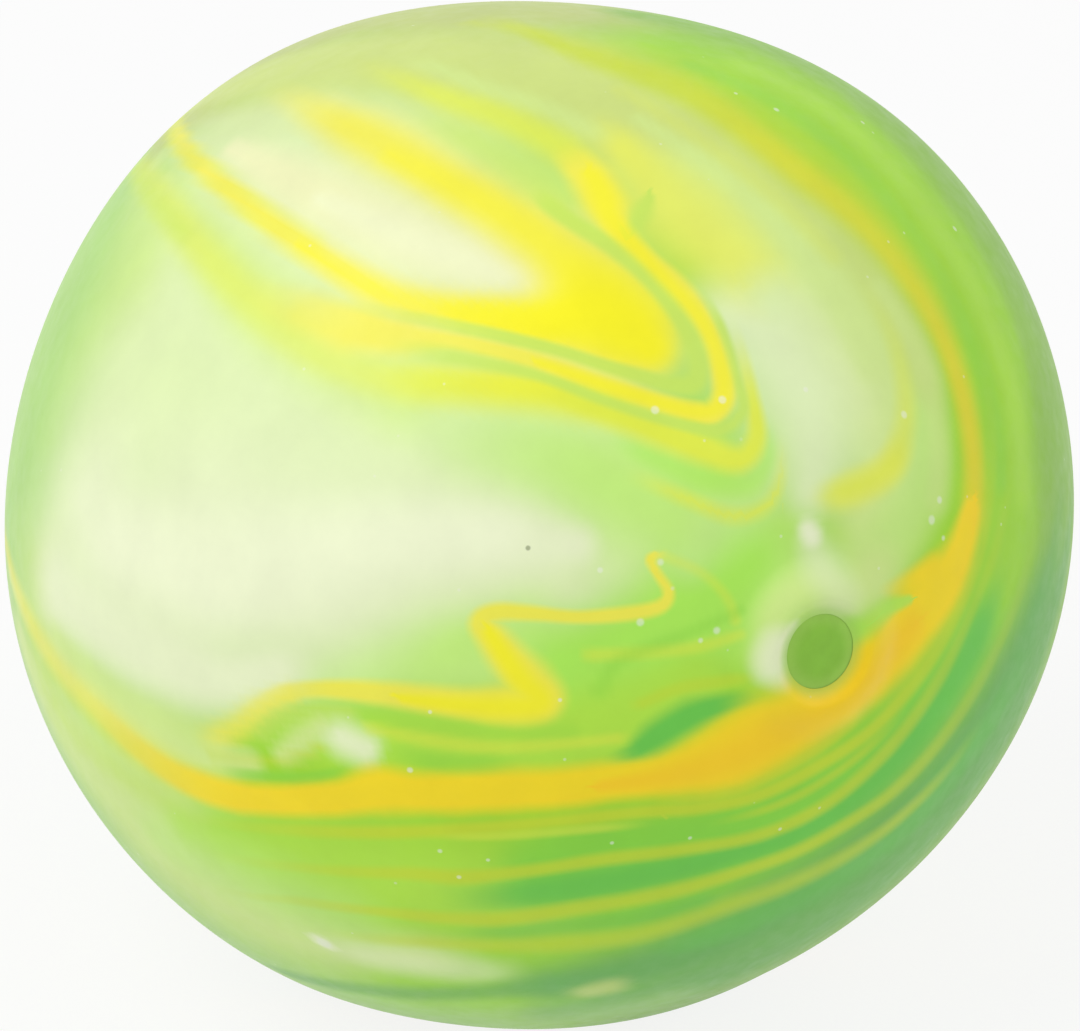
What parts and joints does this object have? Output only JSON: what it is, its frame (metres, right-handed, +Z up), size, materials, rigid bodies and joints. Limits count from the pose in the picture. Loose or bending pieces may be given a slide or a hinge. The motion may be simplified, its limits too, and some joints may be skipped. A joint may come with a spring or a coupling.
{
  "type": "squishy ball",
  "caption": "Soft marbled rubber ball filled with gel, settled on a small flat foot, with a barbed plug glued into a lipped fill port; squeezed in the hand as a toy.",
  "frame": {"origin": "on the table, under the middle of the ball's flat foot", "axes": "+Z up; -Y is the side that the fill plug faces; +X to the right of someone who looks at the plug"},
  "size_m": [0.07, 0.0706, 0.0638],
  "materials": {
    "marbled_rubber": "satin, white, yellow, gold and green swirled in one wall",
    "pale_gel": "cloudy soft gel",
    "green_rubber": "satin mid green",
    "set_glue": "clear, glossy"
  },
  "bodies": {
    "ball": {"skin": "marbled_rubber", "filling": "pale_gel"},
    "plug": {"fill_plug": "green_rubber", "plug_glue": "set_glue"}
  },
  "joints": [
    {"name": "plug_press", "type": "slide", "parent": "ball", "child": "plug", "axis": [0, -0.9833, 0.1822], "range_m": [-0.016, 0], "stiffness_N_per_m": 700, "deforming": ["skin", "filling"]}
  ]
}
